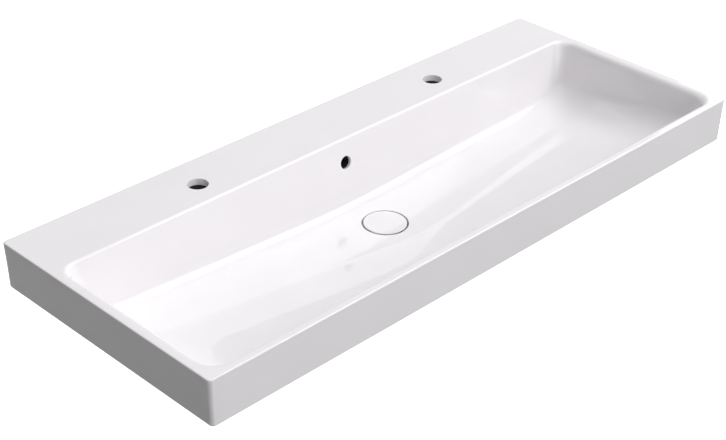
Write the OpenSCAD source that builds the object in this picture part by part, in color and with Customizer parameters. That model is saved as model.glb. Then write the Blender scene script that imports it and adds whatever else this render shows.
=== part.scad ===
// Wall-hung double washbasin with two tap holes, an overflow and a click waste under a ceramic cap.
// The origin is at the centre of the two wall fixing holes, in the plane of the wall.
// +X runs along the wall, +Y points into the wall and +Z is up. Sizes are in millimetres.

/* [Basin] */
// Overall width, left to right
basin_w = 1200; // [1050:10:1350]
// Overall depth, from the wall to the front
basin_d = 480; // [470:5:520]
// Height of the outer skirt
skirt_h = 81; // [78:1:100]
// Thickness of the skirt
skirt_t = 12; // [10:0.5:13]
// How far the front and the sides draw in towards their lower edge
skirt_draft = 3.5; // [0:0.5:6]
// Radius of the upright outer corners
corner_r = 7; // [5:0.5:10]
// Radius of the top outer edge
rim_edge_r = 2.5; // [1:0.5:3.5]
// Thickness of the tap deck
deck_t = 12; // [10:0.5:16]
// Thickness of the stiffening webs under the deck
web_t = 12; // [8:1:16]
// Distance between the two outer webs
outer_web_gap = 840; // [760:10:900]
// Distance between the two inner webs
inner_web_gap = 390; // [360:10:440]

/* [Bowl] */
// Distance from the wall to the bowl's back edge
tap_deck_d = 121.5; // [116:0.5:130]
// Width of the front rim
front_rim_w = 15; // [15:0.5:22]
// Width of the side rims
side_rim_w = 20.5; // [15:0.5:24]
// Radius of the bowl's back corners, seen from above
back_corner_r = 28; // [20:1:45]
// Radius of the bowl's front corners, seen from above
front_corner_r = 36; // [24:1:50]
// Depth of the bowl at the drain
bowl_h = 120; // [114:1:130]
// Thickness of the bowl's wall and floor
bowl_t = 11; // [9:0.5:12]
// How far the back wall leans in at its foot
back_lean = 18; // [10:1:24]
// How far the side walls lean in at their foot
side_lean = 28; // [20:1:45]
// How far the front wall leans in at its foot
front_lean = 30; // [20:1:40]
// Rounding of the bowl's front and back edges
edge_round = 5; // [3:0.5:6]
// Rounding of the bowl's side edges
side_edge_round = 10.5; // [5:0.5:11]
// Height of the blend between floor and back wall
back_blend_h = 20; // [12:1:28]
// Reach of that blend over the floor
back_blend_reach = 20; // [12:1:28]
// Height of the blend between floor and side walls
side_blend_h = 38; // [25:1:45]
// Reach of that blend over the floor
side_blend_reach = 100; // [60:5:130]
// Height of the blend between floor and front wall
front_blend_h = 28; // [18:1:40]
// Reach of that blend over the floor
front_blend_reach = 34; // [20:1:50]
// Rise of the trough from the drain to either side wall
end_rise = 27; // [10:1:30]
// Rise of the front slope from the crease to the front wall
front_rise = 18; // [5:1:22]
// Distance from the wall to the crease, beside the drain
crease_mid = 285; // [275:1:320]
// Distance from the wall to the crease, at either end of the bowl
crease_end = 219; // [200:1:270]
// Roundness of the crease, as a height
crease_soft = 0.6; // [0.4:0.1:3]
// Length over which the floor levels out beside the drain
drain_soft = 60; // [30:5:100]

/* [Tap holes] */
// Diameter of a tap hole
tap_hole_d = 35; // [33:0.5:37]
// Distance between the two tap holes
tap_gap = 550; // [460:10:660]
// Distance from the wall to the tap holes
tap_setback = 69; // [60:1:76]

/* [Wall fixings] */
// Distance between the two wall fixing holes
fixing_gap = 280; // [200:10:320]
// Diameter of a wall fixing hole
fixing_hole_d = 18; // [12:1:22]
// Distance from the rim down to the wall fixing holes
fixing_drop = 58; // [50:1:60]
// Diameter of the thick pad round a fixing hole
fixing_pad_d = 44; // [36:1:46]
// Height of that pad inside the back wall
fixing_pad_h = 6; // [3:0.5:10]

/* [Overflow] */
// Diameter of the overflow hole
overflow_d = 23; // [18:0.5:26]
// Distance from the rim down to the overflow hole
overflow_drop = 43; // [40:1:48]
// Width of the overflow duct
duct_w = 36; // [28:1:40]
// Depth of the overflow duct, front to back
duct_t = 14; // [10:0.5:16]
// Height of the duct where it runs forward to the drain
duct_run_h = 12; // [8:0.5:14]
// Radius of the duct's outer bend
duct_bend_r = 24; // [18:1:26]
// Wall round the overflow duct
duct_wall = 9; // [6:0.5:12]

/* [Drain] */
// Distance from the wall to the drain
drain_setback = 223; // [212:1:235]
// Diameter of the round recess that the cap sits in
recess_d = 80; // [79:0.5:88]
// Depth of that recess
recess_h = 13; // [12.5:0.1:14]
// Diameter of the drain hole
drain_hole_d = 46; // [45:0.5:48]
// Ceramic between the recess and the overflow duct
seat_t = 6; // [5:0.5:9]
// Wall of the boss round the recess
boss_wall = 10; // [8:0.5:14]

/* [Waste] */
// Diameter of the ceramic cap
cap_d = 74; // [68:0.5:76]
// Thickness of the ceramic cap at its edge
cap_t = 7; // [6.8:0.1:7.3]
// Height of the cap's gentle dome
cap_crown = 1.2; // [0.5:0.1:2]
// Radius of the cap's top edge
cap_edge_r = 1.6; // [1:0.1:2.5]
// Diameter of the metal carrier under the cap
carrier_d = 58; // [54:0.5:60]
// Thickness of the carrier's plate
carrier_t = 2; // [1.5:0.1:2.4]
// Diameter of the carrier's threaded hub
carrier_hub_d = 13; // [11:0.5:15]
// Height of that hub under the plate
carrier_hub_h = 5; // [4:0.5:7]
// Height of the sealing ring
cap_seal_h = 1.6; // [1.2:0.1:1.8]
// Width of the sealing ring, from its inside to its outside
cap_seal_w = 6; // [4:0.5:8]
// Diameter of the waste's pipe thread
thread_d = 41.91; // [40:0.1:43]
// Wall of the waste pipe
pipe_t = 2.4; // [1.8:0.1:3]
// Diameter of the waste's flange
flange_d = 64; // [60:0.5:66]
// Thickness of the flange
flange_t = 2.5; // [2:0.1:2.8]
// Thickness of the gasket under the flange
flange_gasket_t = 1.5; // [1:0.1:1.8]
// Number of overflow windows round the waste
window_count = 4; // [3:1:6]
// Width of an overflow window
window_w = 15; // [10:0.5:16]
// Outer diameter of the gasket under the basin
lower_gasket_d = 60; // [58:0.5:64]
// Height of that gasket
lower_gasket_h = 6; // [4:0.5:9]
// Height of the gasket's spigot in the drain hole
lower_spigot_h = 3; // [2:0.5:4]
// Thickness of the slip washer
slip_washer_t = 2; // [1.5:0.1:3]
// Diameter of the outlet bell's rim
bell_rim_d = 60; // [58:0.5:64]
// Thickness of that rim
bell_rim_t = 3; // [2:0.5:4]
// Width of the bell's hexagon across its flats
bell_hex_af = 52; // [50:0.5:56]
// Thickness of the bell's shoulder
bell_shoulder_t = 5; // [4:0.5:8]
// Length of the outlet thread, for the trap
tail_h = 30; // [24:1:40]
// Thickness of the spider that carries the cartridge
spider_t = 4; // [3:0.5:6]
// Width of a spider arm
spider_arm_w = 3; // [2:0.5:4]

/* [Click cartridge] */
// Lift of the cap, from closed to open
cap_lift = 9; // [6:0.5:10]
// Outer diameter of the cartridge
cartridge_d = 20; // [19:0.5:22]
// Diameter of the cartridge's chamber
chamber_d = 16; // [15.5:0.1:16.4]
// Diameter of the plunger's stem
stem_d = 8; // [7:0.1:8.4]
// Diameter of the plunger's threaded end, in the carrier's hub
stem_end_d = 6; // [5:0.1:6.4]
// Height of the plunger's toothed head
plunger_head_h = 4; // [3:0.5:5]
// Height of the turning latch ring
rotor_h = 4.5; // [4:0.5:6]
// Depth of the latch teeth
latch_tooth_h = 1.2; // [0.8:0.1:1.5]
// Number of latch teeth
latch_teeth = 8; // [6:2:12]
// Length of the spring with the cap closed
spring_closed_h = 14; // [12:0.5:18]
// Diameter of the spring's wire
spring_wire_d = 1.2; // [1:0.1:1.3]
// Outer diameter of the spring
spring_d = 11; // [10:0.1:12]
// Number of turns of the spring
spring_turns = 5; // [4:1:6]
// Thickness of the cartridge's base
cartridge_base_t = 2.5; // [2:0.5:4]
// Diameter of the stud that carries the cartridge
stud_d = 8; // [6:0.5:9]
// Height of that stud
stud_h = 6; // [5:0.5:9]
// Height of the collar that closes the cartridge
collar_h = 5; // [4.5:0.1:6]
// Thickness of the o-ring in the collar
o_ring_t = 1.8; // [1.5:0.1:2]

/* [Hidden] */

// Faces of a full circle
$fn = 96;
// How far a cut runs past the faces that it opens
over = 2;
// Gap between a moving piece and what it nearly touches
move_gap = 0.3;
// Gap beside a shaft that slides, or a thread, on each side
run_gap = 0.05;
// Steps along the bowl's long sides, its short sides and a corner
long_n = 16;
short_n = 5;
turn_n = 6;
// Steps down the rounded edge, along the blend, over the bowl's floor and over its underside
edge_n = 4;
blend_n = 8;
floor_n = 10;
under_n = 6;
// Steps round the spring's wire and along one turn
wire_n = 6;
coil_n = 14;
// Share of the drain recess that the bowl's floor mesh leaves to the round cut
floor_ring_share = 0.8;

// Heights of the basin
rim_z = fixing_drop;
skirt_z = rim_z - skirt_h;
deck_z = rim_z - deck_t;
floor_z = rim_z - bowl_h;
recess_z = floor_z - recess_h;
duct_top_z = recess_z - seat_t;
duct_low_z = duct_top_z - duct_run_h;
boss_z = duct_low_z - seat_t * 2;

// Plan of the bowl
bowl_half_w = basin_w / 2 - side_rim_w;
bowl_back_y = -tap_deck_d;
bowl_front_y = front_rim_w - basin_d;
drain = [0, -drain_setback];
front_foot_y = bowl_front_y + front_lean;
slope_run = -front_foot_y - crease_mid;

// Heights of the cap and its carrier, from the recess upwards
flange_z = recess_z + flange_gasket_t + flange_t;
carrier_z = flange_z + move_gap + cap_seal_h;
hub_low_z = carrier_z - carrier_hub_h;
cap_z = floor_z - cap_t;
pipe_r = thread_d / 2 - pipe_t;

// Heights of the cartridge, from its collar downwards
collar_top_z = hub_low_z - move_gap;
collar_z = collar_top_z - collar_h;
head_top_z = collar_z - cap_lift - move_gap * 2;
head_z = head_top_z - plunger_head_h;
rotor_top_z = head_z - move_gap;
rotor_z = rotor_top_z - rotor_h;
spring_z = rotor_z - move_gap - spring_closed_h;
cartridge_z = spring_z - cartridge_base_t - stud_h;
spider_z = cartridge_z - spider_t;
chamber_r = chamber_d / 2;

// Heights of the outlet bell, from the boss downwards
bell_z = boss_z - lower_gasket_h - slip_washer_t;
bell_seat_z = spider_z - move_gap;
bell_low_z = bell_seat_z - bell_shoulder_t;
tail_z = bell_low_z - tail_h;

// Points from a to b in equal steps, without b
function run(a, b, n) = [for (i = [0:n - 1]) a + (b - a) * i / n];

// A quarter turn round a centre, counter-clockwise from a start angle, without its last point
function quarter(centre, r, start, n) = [for (i = [0:n - 1])
    let (a = start + 90 * i / n) centre + r * [cos(a), sin(a)]];

// A rectangle with round corners that is the same left and right, counter-clockwise from the front left
function outline(half_w, front_y, back_y, front_r, back_r, steps) = concat(
    run([front_r - half_w, front_y], [half_w - front_r, front_y], steps[0]),
    quarter([half_w - front_r, front_y + front_r], front_r, -90, steps[2]),
    run([half_w, front_y + front_r], [half_w, back_y - back_r], steps[1]),
    quarter([half_w - back_r, back_y - back_r], back_r, 0, steps[2]),
    run([half_w - back_r, back_y], [back_r - half_w, back_y], steps[0]),
    quarter([back_r - half_w, back_y - back_r], back_r, 90, steps[2]),
    run([-half_w, back_y - back_r], [-half_w, front_y + front_r], steps[1]),
    quarter([front_r - half_w, front_y + front_r], front_r, 180, steps[2]));

// A row of points in the plane, lifted to one height
function level(row, z) = [for (p = row) [p.x, p.y, z]];

// A row between two rows
function between(a, b, share) = [for (i = [0:len(a) - 1]) a[i] + (b[i] - a[i]) * share];

// A row on the curve that leaves row a, heads for row b and ends at row c
function curve_row(a, b, c, share) = between(between(a, b, share), between(b, c, share), share);

// A closed solid through rows of points, the lowest row first, every row counter-clockwise from above
module loft(rows) {
    n = len(rows[0]);
    last = len(rows) - 1;
    points = [for (row = rows) each row];
    sides = [for (j = [0:last - 1], i = [0:n - 1])
        let (k = (i + 1) % n)
        each [[j * n + i, (j + 1) * n + i, (j + 1) * n + k], [j * n + i, (j + 1) * n + k, j * n + k]]];
    bottom = [for (i = [0:n - 1]) i];
    top = [for (i = [n - 1:-1:0]) last * n + i];
    polyhedron(points, concat([bottom], sides, [top]));
}

// Height of the bowl's floor: a trough along the back wall that rises gently from the drain to both
// ends, and a front slope that rises from a crease towards the front wall
function floor_height(p) =
    let (side = sqrt(p.x * p.x + drain_soft * drain_soft) - drain_soft,
         trough = end_rise * side / bowl_half_w,
         crease = crease_mid + (crease_end - crease_mid) * side / bowl_half_w,
         slope = front_rise * (-p.y - crease) / slope_run)
    floor_z + trough + (slope + sqrt(slope * slope + crease_soft * crease_soft)) / 2;

// A row in the plane, laid on the bowl's floor or a wall thickness under it
function on_floor(row, grow) = [for (p = row) [p.x, p.y, floor_height(p) - grow]];

// The bowl's form. With grow at zero it is the hollow, and otherwise the outside of its wall.
module bowl_form(grow) {
    steps = [long_n, short_n, turn_n];
    rim = outline(bowl_half_w + grow, bowl_front_y - grow, bowl_back_y + grow,
                  front_corner_r + grow, back_corner_r + grow, steps);
    foot = outline(bowl_half_w - side_lean + grow, front_foot_y - grow, bowl_back_y - back_lean + grow,
                   front_corner_r + grow, back_corner_r + grow, steps);
    blend_end = outline(bowl_half_w - side_lean - side_blend_reach, front_foot_y + front_blend_reach,
                        bowl_back_y - back_lean - back_blend_reach,
                        front_blend_reach + front_corner_r, back_blend_reach + back_corner_r, steps);
    ring = [for (p = foot) let (d = p - drain) drain + d / norm(d) * recess_d / 2 * floor_ring_share];
    rim_row = level(rim, rim_z);
    foot_row = on_floor(foot, grow);
    floor_row = on_floor(blend_end, grow);
    // How far up the wall its blend starts, and how far down it the rounded edge ends
    wall_row = [for (i = [0:len(rim) - 1])
        let (sideways = side_share(i), front = rim[i].y < drain.y,
             ends = front ? front_blend_h : back_blend_h,
             blend_h = grow + ends + (side_blend_h - ends) * sideways)
        foot_row[i] + (rim_row[i] - foot_row[i]) * blend_h / (rim_z - foot_row[i].z)];
    edge_row = [for (i = [0:len(rim) - 1])
        let (round_r = edge_round + (side_edge_round - edge_round) * side_share(i))
        rim_row[i] + (foot_row[i] - rim_row[i]) * round_r / (rim_z - foot_row[i].z)];
    lip = outline(bowl_half_w + side_edge_round, bowl_front_y - edge_round, bowl_back_y + edge_round,
                  front_corner_r + edge_round, back_corner_r + edge_round, steps);
    rows = grow > 0 ? under_n : floor_n;
    floor_rows = [for (k = [1:rows - 1]) on_floor(between(ring, blend_end, k / rows), grow)];
    blend_rows = [for (k = [0:blend_n]) curve_row(floor_row, foot_row, wall_row, k / blend_n)];
    lip_row = level(lip, rim_z);
    edge_rows = [for (k = [0:edge_n]) curve_row(edge_row, rim_row, lip_row, k / edge_n)];
    top_rows = grow > 0 ? [[for (i = [0:len(rim) - 1])
        rim_row[i] + (foot_row[i] - rim_row[i]) * (deck_t / 2) / (rim_z - foot_row[i].z)]]
        : concat(edge_rows, [level(lip, rim_z + over)]);
    loft(concat([level(ring, floor_z - grow)], floor_rows, blend_rows, top_rows));
}

// How much the outline's point i faces sideways: one on a side wall, nothing on the front and back walls
function side_share(i) =
    let (half_n = long_n + short_n + turn_n * 2, k = i % half_n)
    k < long_n ? 0 : k < long_n + turn_n ? sin(90 * (k - long_n) / turn_n)
    : k < long_n + turn_n + short_n ? 1 : cos(90 * (k - long_n - turn_n - short_n) / turn_n);

// The outer block, with round upright corners, drawn-in front and sides and a soft top edge
module outer_block() {
    steps = [1, 1, turn_n];
    low = outline(basin_w / 2 - skirt_draft, skirt_draft - basin_d, 0, corner_r, corner_r, steps);
    full = outline(basin_w / 2, -basin_d, 0, corner_r, corner_r, steps);
    top = outline(basin_w / 2 - rim_edge_r, rim_edge_r - basin_d, -rim_edge_r,
                  corner_r - rim_edge_r, corner_r - rim_edge_r, steps);
    edge_rows = [for (k = [0:edge_n])
        curve_row(level(full, rim_z - rim_edge_r), level(full, rim_z), level(top, rim_z), k / edge_n)];
    loft(concat([level(low, skirt_z)], edge_rows));
}

// The space inside the skirt, open downwards
module under_hollow() {
    steps = [1, 1, turn_n];
    low = outline(basin_w / 2 - skirt_draft - skirt_t, skirt_draft + skirt_t - basin_d, -skirt_t,
                  corner_r, corner_r, steps);
    high = outline(basin_w / 2 - skirt_t, skirt_t - basin_d, -skirt_t, corner_r, corner_r, steps);
    loft([level(low, skirt_z - over), level(low, skirt_z), level(high, deck_z)]);
}

// The overflow duct: down behind the bowl's back wall, round a bend and forward under the floor. With
// grow at zero it is the hollow, and otherwise the outside of its wall, which leans with the bowl's back
// wall, so that no gap is left between them, and reaches up to the deck.
module duct(grow) {
    back_y = bowl_back_y + bowl_t + duct_t;
    front_y = bowl_back_y + bowl_t - grow;
    lean = grow > 0 ? back_lean : 0;
    top_z = grow > 0 ? deck_z + deck_t / 2 : rim_z - overflow_drop + overflow_d / 2;
    bend = [back_y - duct_bend_r, duct_low_z + duct_bend_r];
    rotate([90, 0, 90])
        linear_extrude(duct_w + grow * 2, center = true)
            polygon(concat(
                [[drain.y, duct_low_z - grow]],
                quarter(bend, duct_bend_r + grow, -90, blend_n),
                [[back_y + grow, bend.y], [back_y + grow, top_z], [front_y, top_z],
                 [front_y - lean, duct_top_z + grow], [drain.y, duct_top_z + grow]]));
}

// Upright webs that join the bowl to the back wall under the deck
module webs() {
    for (gap = [inner_web_gap, outer_web_gap], side = [-1, 1])
        translate([side * gap / 2 - web_t / 2, bowl_back_y - bowl_t / 2, skirt_z])
            cube([web_t, tap_deck_d - skirt_t / 2, skirt_h - deck_t / 2]);
}

// Thick pads inside the back wall, round the fixing holes
module fixing_pads() {
    for (side = [-1, 1])
        translate([side * fixing_gap / 2, -skirt_t / 2, 0])
            rotate([90, 0, 0])
                cylinder(h = fixing_pad_h + skirt_t / 2, d = fixing_pad_d);
}

module basin() {
    color("white") difference() {
        union() {
            difference() {
                outer_block();
                under_hollow();
            }
            bowl_form(bowl_t);
            webs();
            fixing_pads();
            duct(duct_wall);
            translate([drain.x, drain.y, boss_z])
                cylinder(h = floor_z - bowl_t / 2 - boss_z, d = recess_d + boss_wall * 2);
        }
        bowl_form(0);
        duct(0);
        // Overflow hole through the back wall
        translate([0, bowl_back_y + bowl_t + duct_t / 2, rim_z - overflow_drop])
            rotate([90, 0, 0])
                cylinder(h = bowl_t + duct_t / 2 + back_lean + over, d = overflow_d);
        // Recess for the cap and the drain hole
        translate([drain.x, drain.y, recess_z])
            cylinder(h = recess_h + over, d = recess_d);
        translate([drain.x, drain.y, boss_z - over])
            cylinder(h = recess_z - boss_z + over * 2, d = drain_hole_d);
        // Tap holes
        for (side = [-1, 1])
            translate([side * tap_gap / 2, -tap_setback, deck_z - over])
                cylinder(h = deck_t + over * 2, d = tap_hole_d);
        // Wall fixing holes
        for (side = [-1, 1])
            translate([side * fixing_gap / 2, over, 0])
                rotate([90, 0, 0])
                    cylinder(h = skirt_t + fixing_pad_h + over * 2, d = fixing_hole_d);
    }
}

// Puts a child on the drain's axis
module at_drain(z = 0) {
    translate([drain.x, drain.y, z]) children();
}

// Ceramic cap: a disc with a gentle dome, a soft edge and a seat for the carrier underneath
module drain_cap() {
    cap_r = cap_d / 2;
    flat_r = cap_r - cap_edge_r;
    top_z = floor_z - cap_edge_r;
    dome_n = 8;
    edge = quarter([flat_r, top_z], cap_edge_r, 0, turn_n);
    dome = [for (k = [0:dome_n]) let (share = 1 - k / dome_n)
        [flat_r * share, floor_z + cap_crown * (1 - share * share)]];
    color("white") at_drain() difference() {
        rotate_extrude()
            polygon(concat([[0, cap_z], [cap_r - cap_edge_r / 2, cap_z], [cap_r, cap_z + cap_edge_r / 2]],
                           edge, dome));
        translate([0, 0, cap_z - over])
            cylinder(h = over + carrier_z + carrier_t - cap_z, r = carrier_d / 2 + run_gap);
    }
}

// Metal plate glued into the cap, with a threaded hub for the plunger
module cap_carrier() {
    color("silver") at_drain() difference() {
        union() {
            translate([0, 0, carrier_z]) cylinder(h = carrier_t, d = carrier_d);
            translate([0, 0, hub_low_z]) cylinder(h = carrier_hub_h + carrier_t / 2, d = carrier_hub_d);
        }
        translate([0, 0, hub_low_z - over])
            cylinder(h = carrier_hub_h + carrier_t / 2 + over, r = stem_end_d / 2 + run_gap);
    }
}

// Rubber ring under the carrier that closes on the flange's lip
module cap_seal() {
    seal_r = pipe_r + cap_seal_w;
    color("dimgray") at_drain(carrier_z - cap_seal_h)
        rotate_extrude()
            polygon([[seal_r - cap_seal_w / 2, 0], [seal_r, cap_seal_h / 2], [seal_r, cap_seal_h],
                     [seal_r - cap_seal_w, cap_seal_h], [seal_r - cap_seal_w, cap_seal_h / 2]]);
}

// Cuts radial notches with sloping sides into a ring's end face, point of the notch at height z
module notches(r, z, up) {
    half_w = r * sin(180 / latch_teeth) / 2;
    for (i = [0:latch_teeth - 1])
        rotate([90, 0, 360 * i / latch_teeth + 90])
            translate([0, z, 0])
                linear_extrude(r + over)
                    polygon([[0, 0], [half_w, up * latch_tooth_h], [-half_w, up * latch_tooth_h]]);
}

// Sliding plunger: threaded end, stem and toothed head
module plunger() {
    head_r = chamber_r - move_gap;
    color("goldenrod") at_drain() difference() {
        union() {
            translate([0, 0, hub_low_z]) cylinder(h = carrier_hub_h, d = stem_end_d);
            translate([0, 0, head_top_z]) cylinder(h = hub_low_z - head_top_z, d = stem_d);
            translate([0, 0, head_z]) cylinder(h = plunger_head_h, r = head_r);
        }
        notches(head_r, head_z + latch_tooth_h, -1);
    }
}

// Latch ring that turns a step at every push: toothed top, four guide lugs and a spring seat
module latch_rotor() {
    ring_r = spring_d / 2 + run_gap;
    lug_r = chamber_r - move_gap;
    lug_w = spring_wire_d * 2;
    lug_count = 4;
    color("gray") at_drain() difference() {
        union() {
            translate([0, 0, rotor_z]) cylinder(h = rotor_h, r = ring_r);
            for (i = [0:lug_count - 1])
                rotate([0, 0, 360 * i / lug_count])
                    intersection() {
                        translate([0, -lug_w / 2, rotor_z + rotor_h / 2])
                            cube([lug_r, lug_w, rotor_h / 2 - latch_tooth_h]);
                        translate([0, 0, rotor_z]) cylinder(h = rotor_h, r = lug_r);
                    }
        }
        notches(ring_r, rotor_top_z - latch_tooth_h, 1);
        translate([0, 0, rotor_z - over])
            cylinder(h = over + rotor_h / 2, d = stem_end_d);
    }
}

// Coil spring: one wire of round section swept along a helix
module click_spring() {
    coil_r = (spring_d - spring_wire_d) / 2;
    wire_r = spring_wire_d / 2;
    low_z = spring_z + wire_r + move_gap;
    high_z = spring_z + spring_closed_h - wire_r;
    rings = spring_turns * coil_n;
    rows = [for (k = [0:rings])
        let (a = 360 * k / coil_n, z = low_z + (high_z - low_z) * k / rings)
        [for (i = [0:wire_n - 1])
            let (b = -360 * i / wire_n, r = coil_r + wire_r * cos(b))
            [r * cos(a), r * sin(a), z + wire_r * sin(b)]]];
    color("lightsteelblue") at_drain() loft(rows);
}

// Cartridge: a round cup with a deep chamber and a threaded socket in its base
module cartridge_body() {
    color("whitesmoke") at_drain() difference() {
        translate([0, 0, cartridge_z]) cylinder(h = collar_z - cartridge_z, d = cartridge_d);
        translate([0, 0, spring_z]) cylinder(h = collar_z - spring_z + over, r = chamber_r);
        translate([0, 0, cartridge_z - over]) cylinder(h = stud_h + over, r = stud_d / 2 + run_gap);
    }
}

// Collar screwed onto the cartridge's mouth, with a guide hole and a groove for the o-ring
module cartridge_collar() {
    groove_z = collar_z + (collar_h - o_ring_t) / 2;
    color("whitesmoke") at_drain() difference() {
        union() {
            translate([0, 0, collar_z]) cylinder(h = collar_h, d = cartridge_d);
            translate([0, 0, collar_top_z - cartridge_base_t])
                cylinder(h = cartridge_base_t, r = cartridge_d / 2 + move_gap * 2);
        }
        translate([0, 0, collar_z - over]) cylinder(h = collar_h + over * 2, r = stem_d / 2 + run_gap);
        translate([0, 0, groove_z]) cylinder(h = o_ring_t, r = stem_d / 2 + o_ring_t);
    }
}

// Rubber o-ring in the collar's groove, which wipes the stem
module plunger_o_ring() {
    ring_r = o_ring_t / 2 - run_gap;
    color("black") at_drain(collar_z + collar_h / 2)
        rotate_extrude()
            translate([stem_d / 2 + run_gap + ring_r, 0])
                circle(ring_r);
}

// Waste: flange, threaded barrel with overflow windows, and a spider with a stud for the cartridge
module waste_barrel() {
    arm_count = 3;
    color("silver") at_drain() {
        difference() {
            union() {
                translate([0, 0, spider_z]) cylinder(h = flange_z - spider_z, d = thread_d);
                translate([0, 0, flange_z - flange_t]) cylinder(h = flange_t, d = flange_d);
            }
            translate([0, 0, spider_z - over]) cylinder(h = flange_z - spider_z + over * 2, r = pipe_r);
            for (i = [0:window_count - 1])
                rotate([0, 0, 360 * i / window_count + 90])
                    translate([0, -window_w / 2, duct_low_z])
                        cube([thread_d, window_w, duct_run_h]);
        }
        for (i = [0:arm_count - 1])
            rotate([0, 0, 360 * i / arm_count + 30])
                translate([0, -spider_arm_w / 2, spider_z])
                    cube([pipe_r + pipe_t / 2, spider_arm_w, spider_t]);
        translate([0, 0, spider_z]) cylinder(h = spider_t, r = stud_d / 2 + spider_arm_w);
        translate([0, 0, spider_z]) cylinder(h = spider_t + stud_h - move_gap, d = stud_d);
    }
}

// A flat ring with a hole for the barrel's thread
module thread_ring(h, d) {
    difference() {
        cylinder(h = h, d = d);
        translate([0, 0, -over]) cylinder(h = h + over * 2, r = thread_d / 2 + run_gap);
    }
}

// Flat rubber ring between the flange and the ceramic
module flange_gasket() {
    color("dimgray") at_drain(recess_z) thread_ring(flange_gasket_t, flange_d);
}

// Rubber ring under the boss, with a spigot that fills the gap in the drain hole
module lower_gasket() {
    color("dimgray") at_drain(boss_z - lower_gasket_h) {
        thread_ring(lower_gasket_h, lower_gasket_d);
        thread_ring(lower_gasket_h + lower_spigot_h, drain_hole_d - move_gap * 2);
    }
}

// Plastic washer that lets the bell turn without twisting the gasket
module slip_washer() {
    color("white") at_drain(bell_z) thread_ring(slip_washer_t, lower_gasket_d);
}

// Outlet bell: rim, hexagon and threaded socket for the barrel, then the outlet thread for the trap
module outlet_bell() {
    rim_low_z = bell_z - bell_rim_t;
    hex_low_z = bell_low_z + bell_shoulder_t / 2;
    color("silver") at_drain() difference() {
        union() {
            translate([0, 0, rim_low_z]) cylinder(h = bell_rim_t, d = bell_rim_d);
            translate([0, 0, hex_low_z])
                cylinder(h = rim_low_z - hex_low_z, d = bell_hex_af / cos(30), $fn = 6);
            translate([0, 0, bell_low_z])
                cylinder(h = bell_shoulder_t / 2, d1 = thread_d, d2 = bell_hex_af);
            translate([0, 0, tail_z]) cylinder(h = tail_h + bell_shoulder_t, d = thread_d);
        }
        translate([0, 0, bell_seat_z])
            cylinder(h = bell_z - bell_seat_z + over, r = thread_d / 2 + run_gap);
        translate([0, 0, tail_z - over]) cylinder(h = bell_seat_z - tail_z + over * 2, r = pipe_r);
    }
}

basin();
drain_cap();
cap_carrier();
cap_seal();
plunger();
latch_rotor();
click_spring();
cartridge_body();
cartridge_collar();
plunger_o_ring();
waste_barrel();
flange_gasket();
lower_gasket();
slip_washer();
outlet_bell();
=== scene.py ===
"""A wide wall-hung washbasin with two tap holes, an overflow and a click waste under a ceramic cap.

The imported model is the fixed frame. The basin, the cap and the turned waste parts are made here as smooth
surfaces of the same forms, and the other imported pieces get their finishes. Sizes are in millimetres, and
meshes, lamps and the camera are placed in metres.
"""
import logging
import math
from dataclasses import dataclass, field, replace
from enum import Enum
from typing import Any, Callable, Sequence

import bpy
import numpy as np
from mathutils import Matrix, Vector


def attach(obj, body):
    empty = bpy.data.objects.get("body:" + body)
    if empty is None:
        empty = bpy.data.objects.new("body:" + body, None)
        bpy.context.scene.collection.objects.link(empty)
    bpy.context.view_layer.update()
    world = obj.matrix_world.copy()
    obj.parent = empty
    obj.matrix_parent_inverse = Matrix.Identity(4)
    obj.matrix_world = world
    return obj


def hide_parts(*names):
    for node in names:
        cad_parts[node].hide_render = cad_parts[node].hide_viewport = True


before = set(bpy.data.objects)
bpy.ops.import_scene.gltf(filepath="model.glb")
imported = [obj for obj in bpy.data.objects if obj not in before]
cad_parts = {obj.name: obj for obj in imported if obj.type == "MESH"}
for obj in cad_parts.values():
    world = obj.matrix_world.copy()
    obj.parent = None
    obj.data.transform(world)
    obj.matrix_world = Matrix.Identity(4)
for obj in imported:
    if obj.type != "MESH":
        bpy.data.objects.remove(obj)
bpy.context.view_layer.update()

LOG = logging.getLogger("washbasin")

Array = np.ndarray
Colour = tuple[float, float, float, float]
MM = 0.001
FULL_TURN = 2.0 * math.pi
EASE = 0.3  # how far a small rounding's middle lies from its corner, as a share of its radius
HALVINGS = 30  # steps that find where a line crosses the crease to under a millionth of a millimetre


class Side(Enum):
    """Which finish slot a face of the basin takes.

    GLAZED is all that is seen in use, BISCUIT the wall face, the foot and the outside of the bowl and the duct,
    the third slot the inside of the skirt with its webs and pads, and the fourth the inside of the duct; both of
    these are unglazed clay made near black, a painted shade.
    """

    GLAZED = 0
    BISCUIT = 1
    RAW = 2
    DUCT_SHADE = 3


class Join(Enum):
    """How one closed mesh is combined with another."""

    ADD = "UNION"
    CUT = "DIFFERENCE"


# Mesh helpers


def new_piece(name: str, points: Array, quads: Array, caps: tuple[Array, ...] = ()) -> bpy.types.Object:
    """Puts points and faces into a new object at the origin, smooth shaded.

    Args:
        name: the piece's name.
        points: vertex places in millimetres, one row each.
        quads: vertex numbers of the four-sided faces, one row each.
        caps: vertex numbers of further faces, one array each.

    Returns:
        The object, linked to the scene.
    """
    mesh = bpy.data.meshes.new(name)
    mesh.from_pydata((points * MM).tolist(), [], quads.tolist() + [cap.tolist() for cap in caps])
    mesh.polygons.foreach_set("use_smooth", np.ones(len(mesh.polygons), bool))
    mesh.update()
    piece = bpy.data.objects.new(name, mesh)
    bpy.context.scene.collection.objects.link(piece)
    return piece


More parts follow.
